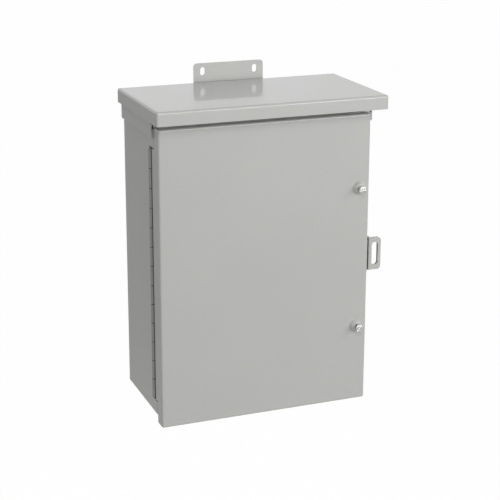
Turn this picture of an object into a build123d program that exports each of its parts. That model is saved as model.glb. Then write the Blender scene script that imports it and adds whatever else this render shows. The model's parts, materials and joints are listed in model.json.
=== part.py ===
from build123d import *
import math
import os

# Wall-mounted hinged-cover steel enclosure with a drip cap, in millimetres.
# X runs across the box, with 0 at its middle. Y is 0 on the wall plane and
# negative towards the front. Z is 0 at the two upper wall slots.

# Sheet and plate
sheet = 1.52
plate = 1.9
bend = 2.3
outer_bend = 3.0

# Body
body_width = 304.8
body_height = 419.5
overall_depth = 152.4
slot_rise = 14.8
latch_flange = 36.0
hinge_flange = 20.0
header_height = 40.0
sill_height = 21.0
floor_flange = 12.0

# Skirts of the top pan
skirt_height = 39.8
hem_height = 12.0
skirt_setback = 0.9
relief_length = 22.0
relief_below_lip = 5.0
relief_height = 9.0

# Drip cap
cap_lip = 18.7
cap_side_overhang = 7.7
cap_front_overhang = 20.0

# Door
latch_reveal = 8.0
top_reveal = 25.0
door_return = 17.5
door_gap = 0.8
door_drop = 12.4
hinge_side_return = 26.0
return_end_gap = 1.2

# Raised bosses of the door, one for each cover screw
boss_height = 4.5
boss_top_radius = 6.6
boss_base_radius = 9.6
boss_blend = 1.2

# Cover screws, drawn out of their nuts
latch_rise = 3.4
screw_inset = 15.3
screw_end_margin = 105.2
screw_turns = 4
screw_pitch = 1.27
head_radius = 5.0
head_height = 3.8
head_gap = 0.1
head_crown = 0.9
slot_width = 1.5
slot_depth = 1.9
neck_radius = 2.4
thread_radius = 3.1
thread_length = 14.0
tip_chamfer = 0.7
tip_standoff = 0.5
screw_hole_radius = 3.45
slot_angle_upper = 4.0
slot_angle_lower = 45.0

# Retaining rings in their grooves
ring_thickness = 1.0
ring_radius = 4.8
ring_seat = 0.3
ring_fit = 0.06
groove_depth = 0.45
groove_slack = 0.05
ring_mouth = 3.2

# Clinch nuts behind the latch flange
thread_fit = 0.075
nut_pilot_radius = 4.3
nut_hole_fit = 0.02
nut_body_radius = 6.3
nut_body_height = 4.4
nut_chamfer = 0.5

# Continuous hinge
knuckle_count = 13
hinge_rise = 33.2
hinge_top_margin = 30.5
knuckle_gap = 0.4
pin_radius = 1.4
pin_fit = 0.05
pin_stickout = 1.2
leaf = 1.2
leaf_width = 25.4
leaf_relief = 0.6
curl_mouth = 34.0
hinge_back = 32.7
notch_margin = 2.6
notch_clearance = 2.2

# Padlock hasp and staple
hasp_height = 46.0
hasp_reach = 24.6
hasp_slot_width = 9.2
hasp_slot_height = 33.0
hasp_edge = 4.4
hasp_corner = 5.0
hasp_front = 9.5
hasp_step = 5.7
hasp_base_back = 17.3
hasp_leg_front = 5.0
staple_gap = 0.4
staple_leg = 32.0

# Wall brackets
bracket_width = 101.6
bracket_rise = 26.0
bracket_leg = 18.0
bracket_corner = 5.0
wall_slot_spacing = 76.2
wall_slot_width = 7.14
wall_slot_length = 11.1
joggle_run = 4.0
joggle_below_lip = 3.0

# Studs
panel_stud_radius = 3.1
panel_stud_length = 12.7
panel_inset_x = 25.4
panel_inset_z = 32.0
ground_stud_radius = 2.4
ground_stud_length = 16.0
ground_inset_x = 45.0
ground_inset_z = 60.0
door_ground_length = 13.0
weld_foot_radius = 4.2
weld_foot_height = 0.8
washer_radius = 5.6
washer_thickness = 1.0
hex_nut_flats = 9.5
hex_nut_height = 4.0
nut_fit = 0.05

# Places that follow from the sizes
half = body_width / 2
cap_top = -slot_rise
body_top = cap_top - sheet
wall_top = body_top - sheet
body_bottom = body_top - body_height
lip_bottom = cap_top - cap_lip
door_bottom = body_bottom - door_drop
door_top = body_top - top_reveal
door_height = door_top - door_bottom
door_middle = (door_bottom + door_top) / 2
latch_middle = door_middle + latch_rise
y_back = -(plate + sheet)
y_inside = y_back - sheet
y_front = -overall_depth - (plate + sheet)
y_flange = y_front + door_return + door_gap
y_sill = y_flange + sheet
door_left = -half
door_right = half - latch_reveal
door_width = door_right - door_left
screw_x = door_right - screw_inset
screw_travel = screw_turns * screw_pitch
knuckle_bore = pin_radius + pin_fit
knuckle_radius = knuckle_bore + leaf
hinge_x = -half + sheet - knuckle_bore
hinge_y = y_front + hinge_back
hinge_bottom = door_bottom + hinge_rise
hinge_top = door_top - hinge_top_margin
hinge_length = hinge_top - hinge_bottom
knuckle_pitch = hinge_length / knuckle_count
nut_hole_radius = nut_pilot_radius + nut_hole_fit
head_seat = y_front - boss_height
head_under = head_seat - head_gap - screw_travel
screw_tip = y_flange - tip_standoff
wall_slot_drop = body_bottom - slot_rise


def block(x0, x1, y0, y1, z0, z1):
    """A box between two corners."""
    size = (x1 - x0, y1 - y0, z1 - z0)
    return Pos((x0 + x1) / 2, (y0 + y1) / 2, (z0 + z1) / 2) * Box(*size)


def folded_strip(points, thickness, radius, side):
    """A bent sheet's section: one face follows the points, with rounded bends."""
    line = FilletPolyline(*points, radius=radius)
    return make_face(offset(line, amount=thickness, side=side, closed=True).edges())


def pan(width, depth, height, thickness, radius):
    """A folded pan with its floor on z = 0 and its four walls standing up."""
    outer = Pos(0, 0, height / 2) * Box(width, depth, height)
    outer = fillet(outer.edges().filter_by(Axis.Z), radius)
    outer = fillet(outer.faces().sort_by(Axis.Z)[0].edges(), radius)
    inner = Pos(0, 0, thickness + height / 2) * Box(width - 2 * thickness, depth - 2 * thickness, height)
    inner = fillet(inner.edges().filter_by(Axis.Z), radius - thickness)
    inner = fillet(inner.faces().sort_by(Axis.Z)[0].edges(), radius - thickness)
    return outer - inner


def cylinder_y(radius, y0, y1, x=0.0, z=0.0):
    """A round bar along Y from y0 to y1."""
    return Pos(x, (y0 + y1) / 2, z) * Rot(90, 0, 0) * Cylinder(radius, y1 - y0)


def make_body_wrap():
    """Back and both sides in one sheet, with the front edges turned inwards."""
    section = [
        (half - latch_flange, y_flange),
        (half, y_flange),
        (half, y_back),
        (-half, y_back),
        (-half, y_flange),
        (-half + hinge_flange, y_flange),
    ]
    face = folded_strip(section, sheet, bend, Side.LEFT)
    wrap = Pos(0, 0, body_bottom) * extrude(face, wall_top - body_bottom, dir=(0, 0, 1))
    notch_back = hinge_y + knuckle_radius + notch_clearance
    wrap -= block(
        -half - 1, -half + hinge_flange + 1,
        y_flange - 1, notch_back,
        hinge_bottom - notch_margin, hinge_top + notch_margin,
    )
    for z in screw_heights():
        wrap -= cylinder_y(nut_hole_radius, y_flange - 1, y_sill + 1, screw_x, z)
    return wrap - corner_relief()


def screw_heights():
    """Heights of the upper and the lower cover screw."""
    return (door_top - screw_end_margin + latch_rise, door_bottom + screw_end_margin + latch_rise)


def corner_relief():
    """The wedges cut out of both front corners, just under the lip of the drip cap."""
    low = lip_bottom - relief_below_lip
    wedge = Polyline(
        (y_flange - 1, low),
        (y_flange - 1, low + relief_height),
        (y_flange + relief_length, low + relief_height),
        (y_flange + relief_length, lip_bottom),
        (y_flange - 1, low),
    )
    cut = extrude(Plane.YZ * make_face(wedge), sheet * 3 + 2, dir=(1, 0, 0))
    left = Pos(-half - 2 * sheet - 2, 0, 0) * cut
    return left + mirror(left, about=Plane.YZ)


def make_bottom_pan():
    """The floor of the body, with low side and back flanges and a front sill."""
    width = body_width - 2 * sheet
    depth = y_inside - y_sill
    floor = pan(width, depth, sill_height, sheet, bend)
    floor = Pos(0, (y_inside + y_sill) / 2, body_bottom) * floor
    low = body_bottom + floor_flange
    return floor - block(-half, half, y_sill + bend, y_back, low, body_bottom + sill_height + 1)


def make_top_pan():
    """The roof of the body: hemmed skirts outside the walls and a front header."""
    outside = half + 2 * sheet
    skirt_bottom = body_top - skirt_height
    section = [
        (-outside, skirt_bottom + sheet),
        (-outside, body_top),
        (outside, body_top),
        (outside, skirt_bottom + sheet),
    ]
    face = Plane.XZ * folded_strip(section, sheet, bend, Side.RIGHT)
    roof_front = y_sill + skirt_setback - sheet
    roof_back = y_back - (outer_bend - sheet)
    roof = Pos(0, roof_back, 0) * extrude(face, roof_back - roof_front, dir=(0, -1, 0))
    for way in (-1, 1):
        fold_x = way * (outside - sheet)
        fold = Pos(fold_x, (roof_front + roof_back) / 2, skirt_bottom + sheet)
        fold = fold * Rot(90, 0, 0) * Cylinder(sheet, roof_back - roof_front)
        inner = sorted((way * half, way * (half + sheet)))
        layer = block(*inner, roof_front, roof_back, skirt_bottom + sheet, skirt_bottom + hem_height)
        keep = block(-outside - 1, outside + 1, roof_front, roof_back, skirt_bottom - 1, skirt_bottom + sheet)
        roof += layer + (fold & keep)
    inside = half - bend
    header = block(-inside, inside, y_sill, y_sill + sheet, body_top - header_height, wall_top)
    return roof - corner_relief() + header


def make_drip_cap():
    """The hood over the roof, with a lip turned down on all four sides."""
    width = body_width + 2 * cap_side_overhang
    front = y_front - cap_front_overhang
    back = y_back + sheet
    hood = pan(width, back - front, cap_lip, sheet, outer_bend)
    hood = Pos(0, (front + back) / 2, cap_top) * Rot(180, 0, 0) * hood
    return hood


def make_wall_bracket():
    """A joggled plate: slots above the roof, and a foot welded to the back."""
    joggle_top = lip_bottom - joggle_below_lip
    joggle_end = joggle_top - joggle_run
    section = [
        (0, cap_top + bracket_rise),
        (0, joggle_top),
        (-sheet, joggle_end),
        (-sheet, joggle_end - bracket_leg),
    ]
    face = Plane.YZ * folded_strip(section, plate, plate * 1.4, Side.RIGHT)
    bracket = Pos(-bracket_width / 2, 0, 0) * extrude(face, bracket_width, dir=(1, 0, 0))
    tall = bracket.edges().filter_by(Axis.Y)
    ends = tall.group_by(Axis.Z)
    bracket = fillet(ends[-1] + ends[0], bracket_corner)
    for x in (-wall_slot_spacing / 2, wall_slot_spacing / 2):
        slot = SlotOverall(wall_slot_length, wall_slot_width, rotation=90)
        cut = extrude(Plane.XZ * slot, plate + 2, both=True)
        bracket -= Pos(x, 0, 0) * cut
    return bracket


def make_bottom_bracket(bracket):
    """The same bracket, turned over at the foot of the body."""
    middle = wall_slot_drop / 2
    return mirror(bracket, about=Plane.XY.offset(middle))


def knuckle_section(way, reach):
    """One knuckle seen along the pin: a leaf that runs way along Y and its curl."""
    ring = Circle(knuckle_radius) - Circle(knuckle_bore)
    mouth = Polygon(
        (0, 0),
        (2 * knuckle_radius, 0),
        (2 * knuckle_radius * math.cos(math.radians(curl_mouth)),
         2 * knuckle_radius * math.sin(math.radians(curl_mouth))),
        align=None,
    )
    if way < 0:
        mouth = mirror(mouth, about=Plane.XZ)
    mid = (knuckle_bore + knuckle_radius) / 2
    flat = Pos(mid, way * reach / 2) * Rectangle(leaf, reach)
    return (ring - mouth) + flat


def make_hinge_leaf(way, reach, first):
    """A leaf with every second knuckle, cut back beside the other leaf's knuckles."""
    section = knuckle_section(way, reach)
    mid = (knuckle_bore + knuckle_radius) / 2
    cut_back = knuckle_radius + leaf_relief
    length = reach - cut_back
    web = Pos(mid, way * (cut_back + length / 2)) * Rectangle(leaf, length)
    body = extrude(web, hinge_length - 2 * knuckle_gap)
    body = Pos(0, 0, knuckle_gap) * body
    for index in range(first, knuckle_count, 2):
        tall = knuckle_pitch - 2 * knuckle_gap
        body += Pos(0, 0, index * knuckle_pitch + knuckle_gap) * extrude(section, tall)
    return Pos(hinge_x, hinge_y, hinge_bottom) * body


def make_hinge_pin():
    """The pin through all knuckles, with chamfered ends that show above and below."""
    length = hinge_length + 2 * pin_stickout
    pin = Cylinder(pin_radius, length)
    pin = chamfer(pin.edges(), pin_radius * 0.5)
    return Pos(hinge_x, hinge_y, hinge_bottom + hinge_length / 2) * pin


def boss_solid(inset, y_base, top_radius, base_radius, height):
    """A blunt cone that stands forward of y_base."""
    profile = Polyline(
        (0, inset), (base_radius, inset), (base_radius, 0), (top_radius, -height), (0, -height), (0, inset)
    )
    return Pos(0, y_base, 0) * revolve(make_face(profile), Axis.Y)


def make_door_panel():
    """The folded door pan: deeper along the hinge, with a raised boss round each cover screw."""
    door = pan(door_width, door_height, door_return, sheet, outer_bend)
    door = Pos((door_left + door_right) / 2, y_front, door_middle) * Rot(-90, 0, 0) * door
    door += block(
        door_left, door_left + sheet,
        y_front + door_return - sheet, y_front + hinge_side_return,
        hinge_bottom - notch_margin + return_end_gap, hinge_top + notch_margin - return_end_gap,
    )
    for z in screw_heights():
        solid = boss_solid(sheet / 2, y_front, boss_top_radius, boss_base_radius, boss_height)
        solid = fillet(solid.edges().group_by(Axis.Y)[0], boss_blend)
        hollow = boss_solid(
            sheet / 2, y_front + sheet, boss_top_radius - sheet / 2, boss_base_radius - sheet / 2, boss_height
        )
        place = Pos(screw_x, 0, z)
        door = (door + place * solid) - place * hollow
        door -= cylinder_y(screw_hole_radius, head_seat - 1, y_front + sheet + 1, screw_x, z)
    return door


def make_screw(z, slot_angle):
    """A slotted captive screw: head, thin neck with a groove, and threaded end."""
    groove_front = head_seat + sheet + ring_seat - groove_slack
    groove_back = groove_front + ring_thickness + 2 * groove_slack
    thread_front = screw_tip - thread_length
    head_front = head_under - head_height
    groove_radius = neck_radius - groove_depth
    profile = Polyline(
        (0, head_front),
        (head_radius, head_front),
        (head_radius, head_under),
        (neck_radius, head_under),
        (neck_radius, groove_front),
        (groove_radius, groove_front),
        (groove_radius, groove_back),
        (neck_radius, groove_back),
        (neck_radius, thread_front),
        (thread_radius, thread_front + thread_radius - neck_radius),
        (thread_radius, screw_tip - tip_chamfer),
        (thread_radius - tip_chamfer, screw_tip),
        (0, screw_tip),
        (0, head_front),
    )
    screw = revolve(make_face(profile), Axis.Y)
    crown = screw.edges().group_by(Axis.Y)[0]
    screw = chamfer(crown, head_crown)
    cut = block(-head_radius, head_radius, head_front - 1, head_front + slot_depth,
                -slot_width / 2, slot_width / 2)
    screw -= Rot(0, -slot_angle, 0) * cut
    return Pos(screw_x, 0, z) * screw


def make_retaining_ring(z):
    """The open ring in the screw's groove that keeps the screw on the door."""
    front = head_seat + sheet + ring_seat
    bore = neck_radius - groove_depth + ring_fit
    ring = Circle(ring_radius) - Circle(bore)
    ring -= Pos(0, -ring_radius) * Rectangle(ring_mouth, 2 * ring_radius)
    ring = extrude(Plane.XZ * ring, -ring_thickness)
    return Pos(screw_x, front, z) * ring


def make_clinch_nut(z):
    """The nut pressed into the latch flange, with its pilot in the flange's hole."""
    profile = Polyline(
        (0, y_flange),
        (nut_pilot_radius, y_flange),
        (nut_pilot_radius, y_sill),
        (nut_body_radius, y_sill),
        (nut_body_radius, y_sill + nut_body_height - nut_chamfer),
        (nut_body_radius - nut_chamfer, y_sill + nut_body_height),
        (0, y_sill + nut_body_height),
        (0, y_flange),
    )
    nut = revolve(make_face(profile), Axis.Y)
    bore = cylinder_y(thread_radius + thread_fit, y_flange - 1, y_sill + nut_body_height + 1)
    return Pos(screw_x, 0, z) * (nut - bore)


def hasp_slot(x_middle):
    """The padlock slot through both plates."""
    slot = SlotOverall(hasp_slot_height, hasp_slot_width, rotation=90)
    cut = extrude(Plane.XZ * slot, 2 * door_return, both=True)
    return Pos(x_middle, y_front + hasp_front, latch_middle) * cut


def round_outer_corners(part):
    """Rounds the two far corners of a plate that reaches out to the right."""
    across = part.edges().filter_by(Axis.Y)
    far = across.group_by(Axis.X)[-1]
    return fillet(far, hasp_corner)


def make_door_hasp():
    """A stepped plate: its leg is on the door's return, its tab has the slot."""
    base_back = y_front + hasp_base_back
    tab_back = y_front + hasp_front + plate
    step_x = door_right + hasp_step + plate
    section = [
        (door_right, y_front + hasp_leg_front),
        (door_right, base_back),
        (step_x, base_back),
        (step_x, tab_back),
        (door_right + hasp_reach, tab_back),
    ]
    inner = plate * 0.42
    face = hasp_section(section, inner)
    tab = Pos(0, 0, latch_middle - hasp_height / 2) * extrude(face, hasp_height, dir=(0, 0, 1))
    tab = round_outer_corners(tab)
    return tab - hasp_slot(door_right + hasp_reach - hasp_edge - hasp_slot_width / 2)


def hasp_section(points, inner):
    """The hasp's section from its back face, with each bend at its own radius."""
    line = FilletPolyline(*points, radius=[plate + inner, plate + inner, inner])
    return make_face(offset(line, amount=plate, side=Side.RIGHT, closed=True).edges())


def make_body_staple():
    """The angle on the body's side whose slotted tab stands behind the hasp."""
    tab_front = y_front + hasp_front + plate + staple_gap
    leg_back = y_flange + staple_leg
    section = [
        (half, leg_back),
        (half, tab_front),
        (door_right + hasp_reach, tab_front),
    ]
    line = FilletPolyline(*section, radius=plate * 1.4)
    face = make_face(offset(line, amount=plate, side=Side.LEFT, closed=True).edges())
    angle = Pos(0, 0, latch_middle - hasp_height / 2) * extrude(face, hasp_height, dir=(0, 0, 1))
    angle = round_outer_corners(angle)
    return angle - hasp_slot(door_right + hasp_reach - hasp_edge - hasp_slot_width / 2)


def make_stud(radius, length, root_y, x, z):
    """A welded stud that points to the front from root_y, on its flared foot."""
    foot = cylinder_y(weld_foot_radius, root_y - weld_foot_height, root_y, x, z)
    shank = cylinder_y(radius, root_y - length, root_y, x, z)
    end = shank.edges().group_by(Axis.Y)[0]
    return foot + chamfer(end, radius * 0.2)


def make_panel_studs():
    """Four studs on the back wall for an inner mounting panel."""
    studs = []
    for x in (-half + panel_inset_x, half - panel_inset_x):
        for z in (body_bottom + panel_inset_z, body_top - panel_inset_z):
            studs.append(make_stud(panel_stud_radius, panel_stud_length, y_inside, x, z))
    return Compound(studs)


def ground_place():
    """Where the body's earth stud stands on the back wall."""
    return (-half + ground_inset_x, body_bottom + ground_inset_z)


def door_ground_place():
    """Where the door's earth stud stands on the back of the door."""
    return (door_left + ground_inset_x, door_bottom + ground_inset_z)


def make_washer(y_seat, way, x, z):
    """A flat washer that sits on y_seat and grows way along Y."""
    bore = ground_stud_radius + 2 * nut_fit
    ring = Circle(washer_radius) - Circle(bore)
    return Pos(x, y_seat, z) * extrude(Plane.XZ * ring, -way * washer_thickness)


def make_hex_nut(y_seat, way, x, z):
    """A hexagon nut that sits on y_seat and grows way along Y."""
    hexagon = RegularPolygon(hex_nut_flats / 2, 6, major_radius=False)
    bore = Circle(ground_stud_radius + nut_fit)
    nut = extrude(Plane.XZ * (hexagon - bore), -way * hex_nut_height)
    dome = cylinder_y(hex_nut_flats / 2 * 1.1, *sorted((0, way * hex_nut_height)))
    dome = chamfer(dome.edges(), hex_nut_flats * 0.05)
    return Pos(x, y_seat, z) * (nut & dome)


def build_parts():
    """Every sub-part by name."""
    upper, lower = screw_heights()
    bracket = make_wall_bracket()
    ground_x, ground_z = ground_place()
    earth_x, earth_z = door_ground_place()
    ground_foot = y_inside - weld_foot_height
    earth_root = y_front + sheet
    earth_foot = earth_root + weld_foot_height
    earth_stud = make_stud(ground_stud_radius, door_ground_length, 0, earth_x, earth_z)
    earth_stud = Pos(0, earth_root, 0) * mirror(earth_stud, about=Plane.XZ)
    return {
        "body_wrap": make_body_wrap(),
        "bottom_pan": make_bottom_pan(),
        "top_pan": make_top_pan(),
        "drip_cap": make_drip_cap(),
        "top_bracket": bracket,
        "bottom_bracket": make_bottom_bracket(bracket),
        "hinge_body_leaf": make_hinge_leaf(1, leaf_width, 0),
        "hinge_door_leaf": make_hinge_leaf(-1, leaf_width, 1),
        "hinge_pin": make_hinge_pin(),
        "door_panel": make_door_panel(),
        "door_hasp": make_door_hasp(),
        "body_staple": make_body_staple(),
        "upper_screw": make_screw(upper, slot_angle_upper),
        "lower_screw": make_screw(lower, slot_angle_lower),
        "upper_retaining_ring": make_retaining_ring(upper),
        "lower_retaining_ring": make_retaining_ring(lower),
        "upper_clinch_nut": make_clinch_nut(upper),
        "lower_clinch_nut": make_clinch_nut(lower),
        "panel_studs": make_panel_studs(),
        "ground_stud": make_stud(ground_stud_radius, ground_stud_length, y_inside, ground_x, ground_z),
        "ground_washer": make_washer(ground_foot, -1, ground_x, ground_z),
        "ground_nut": make_hex_nut(ground_foot - washer_thickness, -1, ground_x, ground_z),
        "door_ground_stud": earth_stud,
        "door_ground_washer": make_washer(earth_foot, 1, earth_x, earth_z),
        "door_ground_nut": make_hex_nut(earth_foot + washer_thickness, 1, earth_x, earth_z),
    }


os.makedirs("parts", exist_ok=True)
for name, shape in build_parts().items():
    export_step(shape, f"parts/{name}.step")
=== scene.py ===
import json
import math

import bpy
from mathutils import Matrix, Vector


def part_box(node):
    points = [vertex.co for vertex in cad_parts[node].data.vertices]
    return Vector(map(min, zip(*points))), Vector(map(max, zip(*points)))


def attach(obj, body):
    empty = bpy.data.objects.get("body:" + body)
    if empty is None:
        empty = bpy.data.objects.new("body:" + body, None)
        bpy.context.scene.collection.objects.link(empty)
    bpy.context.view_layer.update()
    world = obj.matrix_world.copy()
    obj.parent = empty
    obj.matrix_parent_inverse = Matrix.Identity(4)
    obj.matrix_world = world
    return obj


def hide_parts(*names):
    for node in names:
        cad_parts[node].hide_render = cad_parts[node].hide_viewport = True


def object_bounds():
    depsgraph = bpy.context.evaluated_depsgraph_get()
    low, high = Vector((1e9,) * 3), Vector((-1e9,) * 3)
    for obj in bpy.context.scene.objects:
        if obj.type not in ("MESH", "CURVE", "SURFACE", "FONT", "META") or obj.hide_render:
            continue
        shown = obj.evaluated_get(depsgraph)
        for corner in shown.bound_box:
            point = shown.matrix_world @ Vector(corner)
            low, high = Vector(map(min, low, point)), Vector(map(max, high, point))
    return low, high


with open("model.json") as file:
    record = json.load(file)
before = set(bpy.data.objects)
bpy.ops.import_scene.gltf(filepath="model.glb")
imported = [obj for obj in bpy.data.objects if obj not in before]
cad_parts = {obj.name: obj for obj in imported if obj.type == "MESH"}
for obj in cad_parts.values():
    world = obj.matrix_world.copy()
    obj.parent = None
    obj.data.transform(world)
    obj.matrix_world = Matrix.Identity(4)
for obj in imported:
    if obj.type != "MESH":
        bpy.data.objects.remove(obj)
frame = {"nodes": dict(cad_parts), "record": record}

bl_info = {
    "name": "Drip-cap enclosure",
    "version": (1, 0, 0),
    "blender": (4, 5, 0),
    "location": "View3D > Sidebar > Enclosure",
    "description": "Paint, plated fasteners, welds and a stage for a wall-mounted steel enclosure",
    "category": "Object",
}

MM = 0.001
nodes = frame["nodes"]
slot_of = {part["node"]: part["material_slot"] for part in frame["record"]["subparts"]}
cad_low, cad_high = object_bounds()

# Powder paint
DRIFT_SIZE = 0.11                # width of the paint's slow drift of tone, about a hand's
MOTTLE_SIZE = 6.0 * MM           # width of the small clouds in it
DRIFT_SHARE = 0.75               # the drift's share of the tone, the clouds have the rest
PEEL_SHARE = 0.8                 # the dimples' share of the orange peel, its grain has the rest
GRAIN_SCALE = 0.3                # size of that grain beside a dimple
PAINT_ROUGHNESS_SPREAD = 0.06    # from the smoothest spot to the roughest
COAT_ROUGHNESS = 0.06
CREVICE_SAMPLES = 12
CREVICE_SHUT, CREVICE_OPEN = 0.24, 0.44    # openness where the painted shade in gaps is full and where it ends

# Plated steel
MARK_SIZE, MARK_DEPTH = 0.5 * MM, 0.006 * MM
TARNISH_SIZE = 3.0 * MM
TARNISH_DARK, TARNISH_LIGHT = 0.86, 1.08    # tones beside the metal's own colour
MARK_ROUGHNESS, TARNISH_ROUGHNESS = 0.14, 0.1
DRAWN_LAY = (1.0, 0.15, 1.0)     # marks drawn out along the fastener's axis
TURNED_LAY = (0.08, 1.0, 0.08)   # fine rings round a turned screw

# Cover screws
HEAD_SIDES = 48
HEAD_CROWN, CROWN_STEPS = 0.9 * MM, 5
HEAD_CHAMFER, CHAMFER_STEPS = 0.3 * MM, 2
RIM_SHARE = 0.98                 # an edge further out than this share of the head is on its rim
NEAR = 0.01 * MM                 # how near a rim has to be to the plane that is asked for
FACES_WALL = 0.9                 # a face whose normal has more of y than this faces the wall
GROOVE_START = 0.45              # where the ring's groove begins, as a share of the neck
GROOVE_WIDTH, GROOVE_DEPTH = 1.1 * MM, 0.45 * MM
GROOVE_WALL = 0.02 * MM          # run of the groove's steep walls
NECK_TAPER = 0.7 * MM
TIP_TAPER, TIP_DROP = 0.8 * MM, 0.7 * MM
THREAD_HEIGHT = 0.55 * MM
THREAD_LEAD = 0.9 * MM           # bare core before the first turn
THREAD_BARE = 2.6 * MM           # bare core at both ends together
THREAD_SINK = 0.1 * MM           # how far the ridge's foot is sunk into the core
THREAD_HALF_WIDTH = 0.46         # half the ridge's foot, as a share of the pitch
THREAD_STEPS = 24                # faces per turn

# Welds
BEAD_SEGMENTS, BEAD_RINGS = 12, 8
BEAD_STAND_OFF = 0.2 * MM        # from the sheet to a bead's middle line
BRACKET_BEAD_INSET = 5.0 * MM    # from a bracket's foot to its beads
STAPLE_BEAD_INSET = 3.0 * MM     # from the staple's rear end to its beads

# Stage
LAMPS = (
    # name, place, (width, height)
    ("strip", (0.75, -1.9, 0.05), (1.0, 0.35)),
    ("side", (1.5, -1.2, 0.5), (1.0, 1.0)),
    ("fill", (-0.6, -2.2, 1.2), (1.2, 1.2)),
    ("back", (0.4, 2.0, -0.25), (1.2, 0.8)),
)
SENSOR_WIDTH = 36.0              # millimetres, as Blender counts a lens
FLOOR_SIZE = 40.0
FLOOR_COLOUR, FLOOR_ROUGHNESS = (0.8, 0.8, 0.79), 0.8
FLOOR_SEEN = 0.985               # share of white that the floor shows to the camera
FLOOR_MIRRORED = 0.2             # and to metal, gloss and glass

# Shading: edges flatter than this are smooth
SMOOTH_BELOW = math.radians(35)
BEAD_SMOOTH_BELOW = math.radians(60)


# Sizes and colours

class CabinetPaint(bpy.types.PropertyGroup):
    """The grey powder paint on every sheet-metal piece."""

    colour: bpy.props.FloatVectorProperty(
        name="Colour", description="Colour of the grey powder paint",
        subtype="COLOR", size=3, min=0.0, max=1.0, default=(0.474, 0.480, 0.462),
    )
    drift: bpy.props.FloatProperty(
        name="Colour drift", description="How far the paint's tone wanders over a hand's width",
        subtype="FACTOR", min=0.0, max=0.3, default=0.03,
    )
    roughness: bpy.props.FloatProperty(
        name="Roughness", description="Mean roughness of the semi-gloss film",
        subtype="FACTOR", min=0.0, max=1.0, default=0.36,
    )
    peel_size: bpy.props.FloatProperty(
        name="Peel size", description="Width of one dimple of the paint's orange peel",
        subtype="DISTANCE", unit="LENGTH", min=0.0002, max=0.02, default=2.4 * MM,
    )
    peel_depth: bpy.props.FloatProperty(
        name="Peel depth", description="Depth of the orange peel",
        subtype="DISTANCE", unit="LENGTH", min=0.0, max=0.001, default=0.006 * MM,
    )
    coat: bpy.props.FloatProperty(
        name="Top gloss", description="Share of a smoother film over the paint",
        subtype="FACTOR", min=0.0, max=1.0, default=0.75,
    )
    # Painted shade in gaps: how near another surface has to be before the occlusion mask darkens
    # the paint
    crevice_reach: bpy.props.FloatProperty(
        name="Crevice reach", description="How near another surface has to be to hold grime",
        subtype="DISTANCE", unit="LENGTH", min=0.001, max=0.1, default=25.0 * MM,
    )
    # Painted shade: the hinge gets a darker copy of the sheet paint, standing in for the shade of
    # the recess that it sits in
    hinge_shade_factor: bpy.props.FloatProperty(
        name="Hinge tone", description="How dark the thinly painted hinge is beside the sheets",
        subtype="FACTOR", min=0.0, max=1.0, default=0.62,
    )
    # Brightness left in the painted shade of the tightest gaps
    crevice_shade_tone: bpy.props.FloatProperty(
        name="Crevice tone",
        description="Share of the paint's brightness left in the tightest gaps",
        subtype="FACTOR", min=0.0, max=1.0, default=0.04,
    )


class PlatedSteel(bpy.types.PropertyGroup):
    """The bare metal of the fasteners and of the cover screws."""

    zinc_colour: bpy.props.FloatVectorProperty(
        name="Zinc colour", description="Colour of the plate on nuts, washers, rings and studs",
        subtype="COLOR", size=3, min=0.0, max=1.0, default=(0.66, 0.66, 0.64),
    )
    zinc_roughness: bpy.props.FloatProperty(
        name="Zinc roughness", description="Mean roughness of the zinc plate",
        subtype="FACTOR", min=0.0, max=1.0, default=0.34,
    )
    screw_colour: bpy.props.FloatVectorProperty(
        name="Screw colour", description="Colour of the turned cover screws",
        subtype="COLOR", size=3, min=0.0, max=1.0, default=(0.78, 0.78, 0.77),
    )
    screw_roughness: bpy.props.FloatProperty(
        name="Screw roughness", description="Mean roughness of the turned cover screws",
        subtype="FACTOR", min=0.0, max=1.0, default=0.24,
    )


class CoverScrew(bpy.types.PropertyGroup):
    """The slotted captive screws that draw the cover shut."""

    head_radius: bpy.props.FloatProperty(
        name="Head radius", description="Radius of the slotted head",
        subtype="DISTANCE", unit="LENGTH", min=0.001, max=0.02, default=4.95 * MM,
    )
    head_height: bpy.props.FloatProperty(
        name="Head height", description="Height of the slotted head",
        subtype="DISTANCE", unit="LENGTH", min=0.001, max=0.02, default=3.8 * MM,
    )
    neck_radius: bpy.props.FloatProperty(
        name="Neck radius", description="Radius of the thin neck behind the head",
        subtype="DISTANCE", unit="LENGTH", min=0.0005, max=0.01, default=2.36 * MM,
    )
    thread_radius: bpy.props.FloatProperty(
        name="Thread radius", description="Radius over the crests of the thread",
        subtype="DISTANCE", unit="LENGTH", min=0.0005, max=0.01, default=3.08 * MM,
    )
    pitch: bpy.props.FloatProperty(
        name="Pitch", description="Distance from one crest of the thread to the next",
        subtype="DISTANCE", unit="LENGTH", min=0.0003, max=0.004, default=1.27 * MM,
    )
    thread_length: bpy.props.FloatProperty(
        name="Thread length", description="Length of the threaded end",
        subtype="DISTANCE", unit="LENGTH", min=0.002, max=0.05, default=14.0 * MM,
    )
    slot_width: bpy.props.FloatProperty(
        name="Slot width", description="Width of the driver slot",
        subtype="DISTANCE", unit="LENGTH", min=0.0002, max=0.005, default=1.5 * MM,
    )
    slot_depth: bpy.props.FloatProperty(
        name="Slot depth", description="Depth of the driver slot",
        subtype="DISTANCE", unit="LENGTH", min=0.0002, max=0.005, default=1.9 * MM,
    )
    upper_slot_angle: bpy.props.FloatProperty(
        name="Upper slot angle", description="Turn of the upper screw's slot from level",
        subtype="ANGLE", unit="ROTATION", default=math.radians(4.0),
    )
    lower_slot_angle: bpy.props.FloatProperty(
        name="Lower slot angle", description="Turn of the lower screw's slot from level",
        subtype="ANGLE", unit="ROTATION", default=math.radians(45.0),
    )


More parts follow.
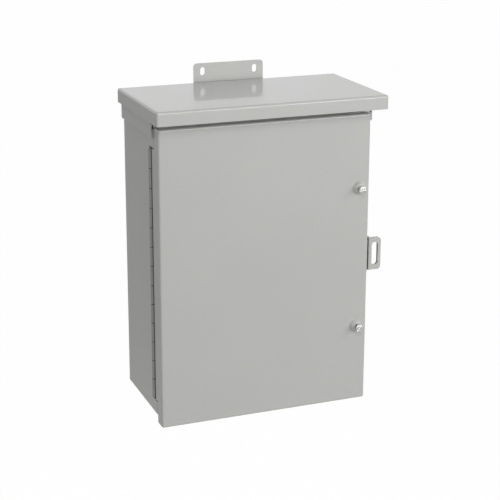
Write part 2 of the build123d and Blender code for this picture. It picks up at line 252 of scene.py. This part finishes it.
class WeldBeads(bpy.types.PropertyGroup):
    """The short painted fillet welds that hold the brackets and the staple."""

    width: bpy.props.FloatProperty(
        name="Width", description="Width of a weld bead",
        subtype="DISTANCE", unit="LENGTH", min=0.0005, max=0.01, default=2.6 * MM,
    )
    ripple: bpy.props.FloatProperty(
        name="Ripple", description="Distance between two ripples of a bead",
        subtype="DISTANCE", unit="LENGTH", min=0.0002, max=0.005, default=1.1 * MM,
    )
    length: bpy.props.FloatProperty(
        name="Length", description="Length of one bead",
        subtype="DISTANCE", unit="LENGTH", min=0.002, max=0.1, default=12.0 * MM,
    )


class StageSettings(bpy.types.PropertyGroup):
    """Floor, lights and camera."""

    floor_height: bpy.props.FloatProperty(
        name="Floor height", description="Height of the floor under the hung enclosure",
        subtype="DISTANCE", unit="LENGTH", default=-1.25,
    )
    ambient: bpy.props.FloatProperty(
        name="Ambient", description="Strength of the soft light from all round",
        min=0.0, max=5.0, default=0.3,
    )
    strip_power: bpy.props.FloatProperty(
        name="Strip power",
        description="Power of the low strip lamp that draws bright lines along the bends",
        subtype="POWER", unit="POWER", min=0.0, default=9.8,
    )
    side_power: bpy.props.FloatProperty(
        name="Side power", description="Power of the soft box close to the right",
        subtype="POWER", unit="POWER", min=0.0, default=9.2,
    )
    fill_power: bpy.props.FloatProperty(
        name="Fill power", description="Power of the soft box in front, to the left",
        subtype="POWER", unit="POWER", min=0.0, default=21.0,
    )
    back_power: bpy.props.FloatProperty(
        name="Back power", description="Power of the low soft box behind",
        subtype="POWER", unit="POWER", min=0.0, default=7.0,
    )
    camera_place: bpy.props.FloatVectorProperty(
        name="Camera place", description="Where the camera stands",
        subtype="TRANSLATION", unit="LENGTH", size=3, default=(-0.6646, -1.7900, 0.3396),
    )
    yaw: bpy.props.FloatProperty(
        name="Yaw", description="Camera turn to the right of straight ahead",
        subtype="ANGLE", unit="ROTATION", default=math.radians(21.289),
    )
    tilt: bpy.props.FloatProperty(
        name="Tilt", description="Camera tilt below the horizon",
        subtype="ANGLE", unit="ROTATION", default=math.radians(15.838),
    )
    roll: bpy.props.FloatProperty(
        name="Roll", description="Camera turn about its own axis",
        subtype="ANGLE", unit="ROTATION", default=math.radians(0.145),
    )
    lens: bpy.props.FloatProperty(
        name="Lens", description="Focal length in millimetres on a 36 mm sensor",
        min=10.0, max=400.0, default=100.5,
    )
    lens_shift: bpy.props.FloatProperty(
        name="Lens shift", description="Upward shift of the frame, as a share of its width",
        min=-0.08, max=0.08, default=-0.08,
    )


# Materials

class Wire:
    """A socket's value, which can be added, subtracted and multiplied like a number."""

    def __init__(self, board, socket):
        self.board = board
        self.socket = socket

    def maths(self, operation, first, second):
        return self.board.node("ShaderNodeMath", {"operation": operation}, {0: first, 1: second})

    def larger(self, other):
        return self.maths("MAXIMUM", self, other)

    def __add__(self, other):
        return self.maths("ADD", self, other)

    def __sub__(self, other):
        return self.maths("SUBTRACT", self, other)

    def __rsub__(self, other):
        return self.maths("SUBTRACT", other, self)

    def __mul__(self, other):
        return self.maths("MULTIPLY", self, other)

    __radd__ = __add__
    __rmul__ = __mul__


class Board:
    """A node tree while its nodes are wired."""

    def __init__(self, tree):
        self.tree = tree

    def plug(self, socket, value):
        """Links a wire to a socket, or sets a plain value on it."""
        if isinstance(value, Wire):
            self.tree.links.new(value.socket, socket)
        else:
            socket.default_value = value

    def node(self, kind, settings=None, sockets=None, out=0):
        """A new node with its settings and sockets filled in, as a wire from one output."""
        made = self.tree.nodes.new(kind)
        for key, value in (settings or {}).items():
            setattr(made, key, value)
        for key, value in (sockets or {}).items():
            self.plug(made.inputs[key], value)
        return Wire(self, made.outputs[out])

    def camera_ray(self):
        """1 where the camera looks straight at the surface, 0 elsewhere."""
        return self.node("ShaderNodeLightPath", out="Is Camera Ray")

    def mirrored_ray(self):
        """1 where metal, gloss or glass shows the surface, 0 elsewhere."""
        glossy = self.node("ShaderNodeLightPath", out="Is Glossy Ray")
        return glossy.larger(self.node("ShaderNodeLightPath", out="Is Transmission Ray"))


class Finish(Board):
    """One material while its nodes are wired."""

    def __init__(self, name):
        self.material = bpy.data.materials.new(name)
        self.material.use_nodes = True
        super().__init__(self.material.node_tree)
        self.shader = self.tree.nodes["Principled BSDF"]
        self.place = self.node("ShaderNodeTexCoord", out="Object")

    def noise(self, size, detail=2.0, stretch=None):
        """A soft random field from 0 to 1 whose blobs are about size metres wide."""
        where = self.place
        if stretch:
            where = self.node("ShaderNodeMapping", {}, {"Vector": where, "Scale": stretch})
        sockets = {"Vector": where, "Scale": 1.0 / size, "Detail": detail}
        return self.node("ShaderNodeTexNoise", {}, sockets)

    def tint(self, factor, low, high):
        """A colour between low and high, from the Mix node's colour sockets."""
        sockets = {0: factor, 6: (*low, 1.0), 7: (*high, 1.0)}
        return self.node("ShaderNodeMix", {"data_type": "RGBA"}, sockets, out=2)

    def ramp(self, value, start, end):
        """0 at start, 1 at end and a straight line between them, with both ends held."""
        sockets = {"Value": value, "From Min": start, "From Max": end}
        return self.node("ShaderNodeMapRange", {}, sockets)

    def bump(self, height, depth):
        """Raises the surface by height times depth, in metres."""
        sockets = {"Height": height, "Distance": depth, "Strength": 1.0}
        return self.node("ShaderNodeBump", {}, sockets, out="Normal")

    def fix(self, **values):
        """Fills in the main shader's sockets."""
        for name, value in values.items():
            self.plug(self.shader.inputs[name.replace("_", " ")], value)

    def blend(self, other, share):
        """Shows another shader in place of the main one, by a share from 0 to 1."""
        main = Wire(self, self.shader.outputs[0])
        mixed = self.node("ShaderNodeMixShader", {}, {0: share, 1: main, 2: other})
        self.plug(self.tree.nodes["Material Output"].inputs["Surface"], mixed)


def scaled(colour, factor):
    """A colour made lighter or darker."""
    return tuple(min(1.0, channel * factor) for channel in colour)


def make_cabinet_paint(name, paint, shade=1.0):
    """Semi-gloss grey powder paint with orange peel, a slow drift of tone and painted shade in
    gaps; a shade below 1 gives a darker copy as painted shade.
    """
    finish = Finish(name)
    drift = finish.noise(DRIFT_SIZE, detail=1.0)
    mottle = finish.noise(MOTTLE_SIZE, detail=3.0)
    tone = drift * DRIFT_SHARE + mottle * (1.0 - DRIFT_SHARE)
    dimples = finish.noise(paint.peel_size, detail=1.5)
    grain = finish.noise(paint.peel_size * GRAIN_SCALE, detail=1.0)
    peel = dimples * PEEL_SHARE + grain * (1.0 - PEEL_SHARE)
    colour = scaled(paint.colour, shade)
    dark, light = scaled(colour, 1.0 - paint.drift), scaled(colour, 1.0 + paint.drift)
    smoothest = paint.roughness - PAINT_ROUGHNESS_SPREAD / 2
    finish.fix(
        Base_Color=finish.tint(tone, dark, light),
        Roughness=tone * PAINT_ROUGHNESS_SPREAD + smoothest,
        Metallic=0.0,
        Coat_Weight=paint.coat,
        Coat_Roughness=COAT_ROUGHNESS,
        Normal=finish.bump(peel, paint.peel_depth),
    )
    # Painted shade: where ambient occlusion finds other surfaces near, a dark matte copy of the
    # paint is blended in and stands in for the shade in gaps and crevices
    openness = finish.node(
        "ShaderNodeAmbientOcclusion", {"samples": CREVICE_SAMPLES},
        {"Distance": paint.crevice_reach}, out="AO",
    )
    gap_shade_colour = (*scaled(colour, paint.crevice_shade_tone), 1.0)
    painted_gap_shade = finish.node(
        "ShaderNodeBsdfPrincipled", {},
        {"Base Color": gap_shade_colour, "Roughness": 1.0, "Specular IOR Level": 0.0},
    )
    finish.blend(painted_gap_shade, 1.0 - finish.ramp(openness, CREVICE_SHUT, CREVICE_OPEN))
    return finish.material


def make_plated_steel(name, colour, roughness, lay):
    """Plated or turned steel: tool marks drawn out along lay, and a faint tarnish."""
    finish = Finish(name)
    marks = finish.noise(MARK_SIZE, stretch=lay)
    tarnish = finish.noise(TARNISH_SIZE)
    smoothest = roughness - (MARK_ROUGHNESS + TARNISH_ROUGHNESS) / 2
    dark, light = scaled(colour, TARNISH_DARK), scaled(colour, TARNISH_LIGHT)
    finish.fix(
        Base_Color=finish.tint(tarnish, dark, light),
        Roughness=marks * MARK_ROUGHNESS + tarnish * TARNISH_ROUGHNESS + smoothest,
        Metallic=1.0,
        Normal=finish.bump(marks, MARK_DEPTH),
    )
    return finish.material


def nodes_with(slot):
    """The names of the CAD nodes that the record gives this material slot."""
    found = [name for name, its_slot in slot_of.items() if its_slot == slot]
    if not found:
        raise RuntimeError(f"the record has no node in the slot {slot}")
    return found


def paint_over(thing, material):
    """Gives a CAD node or a new piece its material."""
    if thing.material_slots:
        for holder in thing.material_slots:
            holder.material = material
    else:
        thing.data.materials.append(material)


# Modelling helpers

def deselect_everything():
    """Starts each piece from a clean selection in object mode."""
    if bpy.context.object and bpy.context.object.mode != "OBJECT":
        bpy.ops.object.mode_set(mode="OBJECT")
    bpy.ops.object.select_all(action="DESELECT")


def pick(keep, kind="FACE"):
    """Selects the faces or edges of the piece in edit mode that keep says yes to."""
    bpy.ops.mesh.select_mode(type=kind)
    bpy.ops.mesh.select_all(action="DESELECT")
    bpy.ops.object.mode_set(mode="OBJECT")
    mesh = bpy.context.object.data
    for item in mesh.polygons if kind == "FACE" else mesh.edges:
        item.select = keep(item, mesh)
    bpy.ops.object.mode_set(mode="EDIT")


def settle(piece, body, material, smooth=SMOOTH_BELOW):
    """Fixes a piece's place in its mesh, shades it and puts it on its body."""
    deselect_everything()
    piece.select_set(True)
    bpy.context.view_layer.objects.active = piece
    bpy.ops.object.transform_apply(location=True, rotation=True, scale=True)
    bpy.ops.object.shade_smooth_by_angle(angle=smooth)
    paint_over(piece, material)
    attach(piece, body)


def join(name, pieces):
    """Joins pieces into the first one, under a new name."""
    deselect_everything()
    for piece in pieces:
        piece.select_set(True)
    bpy.context.view_layer.objects.active = pieces[0]
    bpy.ops.object.join()
    made = bpy.context.object
    made.name = name
    made.data.name = name
    return made


def cut_away(piece, tool):
    """Takes the tool's space out of the piece and removes the tool."""
    deselect_everything()
    piece.select_set(True)
    bpy.context.view_layer.objects.active = piece
    change = piece.modifiers.new("cut", "BOOLEAN")
    change.operation = "DIFFERENCE"
    change.solver = "EXACT"
    change.object = tool
    bpy.ops.object.modifier_apply(modifier=change.name)
    bpy.data.objects.remove(tool)


# Cover screws

def pick_rim(centre, y, radius):
    """Selects the edges at y that lie further than radius from the screw's axis."""
    def on_rim(point):
        off_axis = math.hypot(point.co.x - centre[0], point.co.z - centre[2])
        return abs(point.co.y - y) < NEAR and off_axis > radius

    pick(lambda edge, mesh: all(on_rim(mesh.vertices[v]) for v in edge.vertices), "EDGE")


def draw_shaft(centre, radius, steps):
    """Extends the picked end face backwards through (length, radius) steps about the axis."""
    for length, target in steps:
        bpy.ops.mesh.extrude_region_move(TRANSFORM_OT_translate={"value": (0.0, length, 0.0)})
        if target != radius:
            grow = target / radius
            bpy.ops.transform.resize(value=(grow, 1.0, grow), center_override=centre)
        radius = target


def make_screw(name, size, slot_angle):
    """One captive screw: crowned slotted head, grooved neck and threaded end."""
    low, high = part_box(name)
    axis_x, axis_z = (low[0] + high[0]) / 2, (low[2] + high[2]) / 2
    front, tip = low[1], high[1]
    centre = (axis_x, front, axis_z)
    head_back = front + size.head_height
    thread_front = tip - size.thread_length
    neck = thread_front - head_back
    groove_start = neck * GROOVE_START
    groove_radius = size.neck_radius - GROOVE_DEPTH
    core = size.thread_radius - THREAD_HEIGHT
    deselect_everything()
    bpy.ops.mesh.primitive_cylinder_add(
        vertices=HEAD_SIDES, radius=size.head_radius, depth=size.head_height,
        location=(axis_x, (front + head_back) / 2, axis_z), rotation=(math.pi / 2, 0.0, 0.0),
    )
    screw = bpy.context.object
    bpy.ops.object.transform_apply(location=True, rotation=True, scale=True)
    bpy.ops.object.mode_set(mode="EDIT")
    pick(lambda face, mesh: face.normal.y > FACES_WALL)
    bpy.ops.mesh.inset(thickness=size.head_radius - size.neck_radius)
    draw_shaft(centre, size.neck_radius, (
        (groove_start, size.neck_radius),
        (GROOVE_WALL, groove_radius),
        (GROOVE_WIDTH, groove_radius),
        (GROOVE_WALL, size.neck_radius),
        (neck - groove_start - GROOVE_WIDTH - 2 * GROOVE_WALL, size.neck_radius),
        (NECK_TAPER, core),
        (size.thread_length - NECK_TAPER - TIP_TAPER, core),
        (TIP_TAPER, core - TIP_DROP),
    ))
    rim = size.head_radius * RIM_SHARE
    pick_rim(centre, front, rim)
    bpy.ops.mesh.bevel(offset=HEAD_CROWN, segments=CROWN_STEPS, profile=0.5)
    pick_rim(centre, head_back, rim)
    bpy.ops.mesh.bevel(offset=HEAD_CHAMFER, segments=CHAMFER_STEPS)
    bpy.ops.object.mode_set(mode="OBJECT")
    deselect_everything()
    # The slot's block is wider than the head, and half of its depth stands in front of it
    bpy.ops.mesh.primitive_cube_add(
        size=1.0, location=centre, rotation=(0.0, -slot_angle, 0.0),
        scale=(3 * size.head_radius, 2 * size.slot_depth, size.slot_width),
    )
    cut_away(screw, bpy.context.object)
    start = (axis_x, thread_front + THREAD_LEAD, axis_z)
    thread = make_thread(size, start, size.thread_length - THREAD_BARE, core)
    return join(name + "_threaded", [screw, thread])


def make_thread(size, start, length, core):
    """A helical ridge with closed ends, from start towards the tip."""
    deselect_everything()
    bpy.ops.mesh.primitive_circle_add(vertices=3, fill_type="NOTHING", location=(0, 0, 0))
    ridge = bpy.context.object
    foot = core - THREAD_SINK
    half_width = THREAD_HALF_WIDTH * size.pitch
    profile = ((foot, -half_width), (foot, half_width), (size.thread_radius, 0.0))
    for point, (x, y) in zip(ridge.data.vertices, profile):
        point.co = (x, y, 0.0)
    turn = ridge.modifiers.new("thread", "SCREW")
    turn.axis = "Y"
    turn.screw_offset = size.pitch
    turn.iterations = int(length / size.pitch)
    turn.steps = THREAD_STEPS
    turn.render_steps = THREAD_STEPS
    turn.use_merge_vertices = False
    bpy.ops.object.modifier_apply(modifier=turn.name)
    bpy.ops.object.mode_set(mode="EDIT")
    bpy.ops.mesh.select_mode(type="EDGE")
    bpy.ops.mesh.select_all(action="DESELECT")
    bpy.ops.mesh.select_non_manifold()
    bpy.ops.mesh.fill_holes(sides=4)
    bpy.ops.mesh.select_all(action="SELECT")
    bpy.ops.mesh.normals_make_consistent(inside=False)
    bpy.ops.object.mode_set(mode="OBJECT")
    ridge.location = start
    bpy.ops.object.transform_apply(location=True, rotation=True, scale=True)
    return ridge


# Welds

def make_bead(start, along, size):
    """A rippled fillet weld: drops in a row, from start along a direction."""
    deselect_everything()
    bpy.ops.mesh.primitive_uv_sphere_add(
        segments=BEAD_SEGMENTS, ring_count=BEAD_RINGS, radius=size.width / 2, location=start,
    )
    bead = bpy.context.object
    bpy.ops.object.transform_apply(location=True, rotation=True, scale=True)
    row = bead.modifiers.new("row", "ARRAY")
    row.use_relative_offset = False
    row.use_constant_offset = True
    row.constant_offset_displace = tuple(size.ripple * step for step in along)
    row.count = int(size.length / size.ripple) + 1
    bpy.ops.object.modifier_apply(modifier=row.name)
    return bead


# Operators

class EnclosureOperator:
    """What all operators of this add-on share."""

    bl_options = {"REGISTER", "UNDO"}

    @property
    def settings(self):
        """The sizes and colours that the sidebar shows."""
        return bpy.context.scene.enclosure


class ENCLOSURE_OT_paint_sheets(EnclosureOperator, bpy.types.Operator):
    """Paint the folded sheets, the hinge, the brackets and the hasp."""

    bl_idname = "enclosure.paint_sheets"
    bl_label = "Paint the sheet metal"

    def execute(self, context):
        paint = self.settings.paint
        sheet_paint = make_cabinet_paint("grey_powder_paint", paint)
        # The hinge's paint is the sheet paint darkened, as painted shade
        hinge_shaded_paint = make_cabinet_paint("thin_hinge_paint", paint, paint.hinge_shade_factor)
        for name in nodes_with("grey_paint"):
            paint_over(nodes[name], hinge_shaded_paint if name.startswith("hinge") else sheet_paint)
        return {"FINISHED"}


class ENCLOSURE_OT_plate_fasteners(EnclosureOperator, bpy.types.Operator):
    """Give the nuts, washers, rings and studs their zinc plate."""

    bl_idname = "enclosure.plate_fasteners"
    bl_label = "Plate the fasteners"

    def execute(self, context):
        steel = self.settings.steel
        plate = make_plated_steel(
            "zinc_plate", steel.zinc_colour, steel.zinc_roughness, DRAWN_LAY,
        )
        for name in nodes_with("plated_steel"):
            paint_over(nodes[name], plate)
        return {"FINISHED"}


class ENCLOSURE_OT_cover_screws(EnclosureOperator, bpy.types.Operator):
    """Model the two captive cover screws with their slots and threads."""

    bl_idname = "enclosure.cover_screws"
    bl_label = "Model the cover screws"

    def execute(self, context):
        size, steel = self.settings.screw, self.settings.steel
        turned = make_plated_steel(
            "bright_turned_steel", steel.screw_colour, steel.screw_roughness, TURNED_LAY,
        )
        angles = {"upper_screw": size.upper_slot_angle, "lower_screw": size.lower_slot_angle}
        for name, angle in angles.items():
            screw = make_screw(name, size, angle)
            settle(screw, name, turned)
            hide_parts(name)
        return {"FINISHED"}


class ENCLOSURE_OT_weld_beads(EnclosureOperator, bpy.types.Operator):
    """Lay the short welds at the wall brackets and the staple."""

    bl_idname = "enclosure.weld_beads"
    bl_label = "Lay the welds"

    def execute(self, context):
        size = self.settings.weld
        back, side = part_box("body_wrap")[1][1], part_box("body_wrap")[1][0]
        beads = []
        for name, way in (("top_bracket", 1.0), ("bottom_bracket", -1.0)):
            low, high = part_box(name)
            foot = (low[2] if way > 0 else high[2]) + way * BRACKET_BEAD_INSET
            for edge in (low[0], high[0]):
                start = (edge, back + BEAD_STAND_OFF, foot)
                beads.append(make_bead(start, (0.0, 0.0, way), size))
        low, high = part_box("body_staple")
        for level in (low[2], high[2]):
            start = (side + BEAD_STAND_OFF, high[1] - STAPLE_BEAD_INSET - size.length, level)
            beads.append(make_bead(start, (0.0, 1.0, 0.0), size))
        welds = join("bracket_welds", beads)
        paint = bpy.data.materials["grey_powder_paint"]
        settle(welds, "enclosure", paint, BEAD_SMOOTH_BELOW)
        return {"FINISHED"}


class ENCLOSURE_OT_stage(EnclosureOperator, bpy.types.Operator):
    """Set up the floor, the lamps, the white surround and the camera."""

    bl_idname = "enclosure.stage"
    bl_label = "Set the stage"

    def execute(self, context):
        stage = self.settings.stage
        self.make_surround(stage)
        self.make_floor(stage)
        for name, place, size in LAMPS:
            self.make_lamp(name + "_lamp", place, size, getattr(stage, name + "_power"))
        self.make_camera(stage)
        context.scene.view_settings.view_transform = "Standard"
        return {"FINISHED"}

    def make_surround(self, stage):
        """White for the camera, reflections and glass, and soft light for the rest."""
        world = bpy.data.worlds.new("white_surround")
        bpy.context.scene.world = world
        world.use_nodes = True
        board = Board(world.node_tree)
        white = board.camera_ray().larger(board.mirrored_ray())
        back = board.tree.nodes["Background"]
        board.plug(back.inputs["Color"], (1.0, 1.0, 1.0, 1.0))
        board.plug(back.inputs["Strength"], white * (1.0 - stage.ambient) + stage.ambient)

    def make_floor(self, stage):
        """A plain pale floor well under the enclosure, which hangs on a wall."""
        deselect_everything()
        bpy.ops.mesh.primitive_plane_add(
            size=FLOOR_SIZE, location=(0.0, 0.0, stage.floor_height),
        )
        floor = bpy.context.object
        floor.name = "floor"
        bpy.ops.object.transform_apply(location=True, rotation=True, scale=True)
        finish = Finish("pale_floor")
        finish.fix(Base_Color=(*FLOOR_COLOUR, 1.0), Roughness=FLOOR_ROUGHNESS)
        white = finish.camera_ray() * FLOOR_SEEN + finish.mirrored_ray() * FLOOR_MIRRORED
        finish.blend(finish.node("ShaderNodeEmission", {}, {"Strength": 1.0}), white)
        paint_over(floor, finish.material)

    def make_lamp(self, name, place, size, power):
        """A soft box of light, size wide and high, that faces the middle of the enclosure."""
        lamp = bpy.data.objects.new(name, bpy.data.lights.new(name, "AREA"))
        lamp.data.energy = power
        lamp.data.shape = "RECTANGLE"
        lamp.data.size, lamp.data.size_y = size
        bpy.context.scene.collection.objects.link(lamp)
        middle = (cad_low + cad_high) / 2
        lamp.location = place
        lamp.rotation_euler = (middle - Vector(place)).to_track_quat("-Z", "Y").to_euler()
        lamp.visible_camera = False

    def make_camera(self, stage):
        """The photograph's viewpoint."""
        eye = bpy.data.objects.new("camera", bpy.data.cameras.new("camera"))
        bpy.context.scene.collection.objects.link(eye)
        yaw = Matrix.Rotation(-stage.yaw, 4, "Z")
        tilt = Matrix.Rotation(math.pi / 2 - stage.tilt, 4, "X")
        roll = Matrix.Rotation(stage.roll, 4, "Z")
        eye.rotation_euler = (yaw @ tilt @ roll).to_euler()
        eye.location = stage.camera_place
        eye.data.lens = stage.lens
        eye.data.sensor_width = SENSOR_WIDTH
        eye.data.shift_y = stage.lens_shift
        bpy.context.scene.camera = eye


class EnclosureSettings(bpy.types.PropertyGroup):
    """All sizes and colours of the enclosure's looks."""

    paint: bpy.props.PointerProperty(type=CabinetPaint, name="Paint")
    steel: bpy.props.PointerProperty(type=PlatedSteel, name="Plated steel")
    screw: bpy.props.PointerProperty(type=CoverScrew, name="Cover screws")
    weld: bpy.props.PointerProperty(type=WeldBeads, name="Welds")
    stage: bpy.props.PointerProperty(type=StageSettings, name="Stage")


class ENCLOSURE_PT_sidebar(bpy.types.Panel):
    """Sizes, colours and steps of the enclosure."""

    bl_idname = "ENCLOSURE_PT_sidebar"
    bl_label = "Drip-cap enclosure"
    bl_space_type = "VIEW_3D"
    bl_region_type = "UI"
    bl_category = "Enclosure"

    def draw(self, context):
        settings = context.scene.enclosure
        for part, steps in (
            ("paint", ("enclosure.paint_sheets",)),
            ("steel", ("enclosure.plate_fasteners",)),
            ("screw", ("enclosure.cover_screws",)),
            ("weld", ("enclosure.weld_beads",)),
            ("stage", ("enclosure.stage",)),
        ):
            group = getattr(settings, part)
            box = self.layout.box()
            box.label(text=group.__class__.__doc__)
            for name in group.__annotations__:
                box.prop(group, name)
            for step in steps:
                box.operator(step)


classes = (
    CabinetPaint,
    PlatedSteel,
    CoverScrew,
    WeldBeads,
    StageSettings,
    EnclosureSettings,
    ENCLOSURE_OT_paint_sheets,
    ENCLOSURE_OT_plate_fasteners,
    ENCLOSURE_OT_cover_screws,
    ENCLOSURE_OT_weld_beads,
    ENCLOSURE_OT_stage,
    ENCLOSURE_PT_sidebar,
)


def register():
    """Adds the settings, the operators and the panel."""
    for kind in classes:
        bpy.utils.register_class(kind)
    bpy.types.Scene.enclosure = bpy.props.PointerProperty(type=EnclosureSettings)


def unregister():
    """Takes them away again."""
    del bpy.types.Scene.enclosure
    for kind in reversed(classes):
        bpy.utils.unregister_class(kind)


def main():
    register()
    bpy.ops.enclosure.paint_sheets()
    bpy.ops.enclosure.plate_fasteners()
    bpy.ops.enclosure.cover_screws()
    bpy.ops.enclosure.weld_beads()
    bpy.ops.enclosure.stage()
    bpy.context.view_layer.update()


if __name__ == "__main__":
    main()
